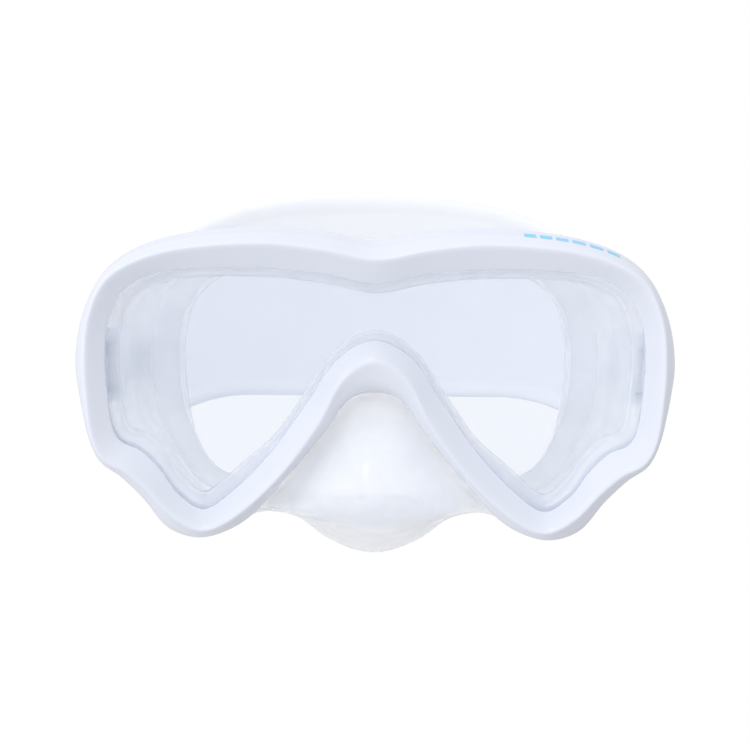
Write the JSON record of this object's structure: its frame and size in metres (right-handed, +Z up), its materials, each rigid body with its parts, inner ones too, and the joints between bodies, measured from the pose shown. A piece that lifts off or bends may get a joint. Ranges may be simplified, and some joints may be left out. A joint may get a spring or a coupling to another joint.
{
  "type": "diving mask",
  "caption": "Single-lens diving mask: white rim, clear silicone skirt with nose pocket, and a wide silicone head strap on swivel buckles with release levers.",
  "frame": {"origin": "centre of the bounding box's bottom, under the lowest point of the skirt's upper-lip seal", "axes": "+X across the mask, to the right as seen from the front; +Y from the lens towards the back of the strap; +Z up, with the lens upright"},
  "size_m": [0.1684, 0.174, 0.0964],
  "materials": {
    "frame_plastic": "glossy moulded polycarbonate",
    "lens_glass": "clear tempered glass",
    "skirt_silicone": "frosted clear silicone",
    "strap_silicone": "satin white silicone",
    "buckle_plastic": "satin moulded plastic",
    "stainless": "polished stainless steel"
  },
  "bodies": {
    "mask": {"outer_frame": "frame_plastic", "inner_frame": "frame_plastic", "lens": "lens_glass", "skirt": "skirt_silicone", "pivot_pin_left": "stainless", "pivot_pin_right": "stainless"},
    "strap": {"strap": "strap_silicone", "buckle_body_left": "buckle_plastic", "buckle_body_right": "buckle_plastic", "roller_pin_left": "stainless", "roller_pin_right": "stainless", "lever_pin_left": "stainless", "lever_pin_right": "stainless"},
    "lever_left": {"release_lever_left": "buckle_plastic", "lever_spring_left": "stainless"},
    "lever_right": {"release_lever_right": "buckle_plastic", "lever_spring_right": "stainless"},
    "roller_left": {"strap_roller_left": "buckle_plastic"},
    "roller_right": {"strap_roller_right": "buckle_plastic"},
    "keeper_left": {"strap_keeper_left": "strap_silicone"},
    "keeper_right": {"strap_keeper_right": "strap_silicone"}
  },
  "joints": [
    {"name": "strap_swing", "type": "hinge", "parent": "mask", "child": "strap", "pos_m": [0, -0.05145, 0.05295], "axis": [1, 0, 0], "range_deg": [-40, 50]},
    {"name": "release_lever_left", "type": "hinge", "parent": "strap", "child": "lever_left", "pos_m": [-0.0814, -0.03695, 0.05295], "axis": [0, 0, 1], "range_deg": [0, 12], "stiffness_Nm_per_rad": 0.02, "springref_deg": -20.05},
    {"name": "strap_roller_left", "type": "hinge", "parent": "strap", "child": "roller_left", "pos_m": [-0.077, -0.02795, 0.05295], "axis": [0, 0, 1], "continuous": true},
    {"name": "strap_keeper_left", "type": "slide", "parent": "strap", "child": "keeper_left", "axis": [0.157, 0.9876, 0], "range_m": [-0.005, 0.002]},
    {"name": "release_lever_right", "type": "hinge", "parent": "strap", "child": "lever_right", "pos_m": [0.0814, -0.03695, 0.05295], "axis": [0, 0, -1], "range_deg": [0, 12], "stiffness_Nm_per_rad": 0.02, "springref_deg": -20.05},
    {"name": "strap_roller_right", "type": "hinge", "parent": "strap", "child": "roller_right", "pos_m": [0.077, -0.02795, 0.05295], "axis": [0, 0, 1], "continuous": true},
    {"name": "strap_keeper_right", "type": "slide", "parent": "strap", "child": "keeper_right", "axis": [-0.157, 0.9876, 0], "range_m": [-0.005, 0.002]}
  ]
}
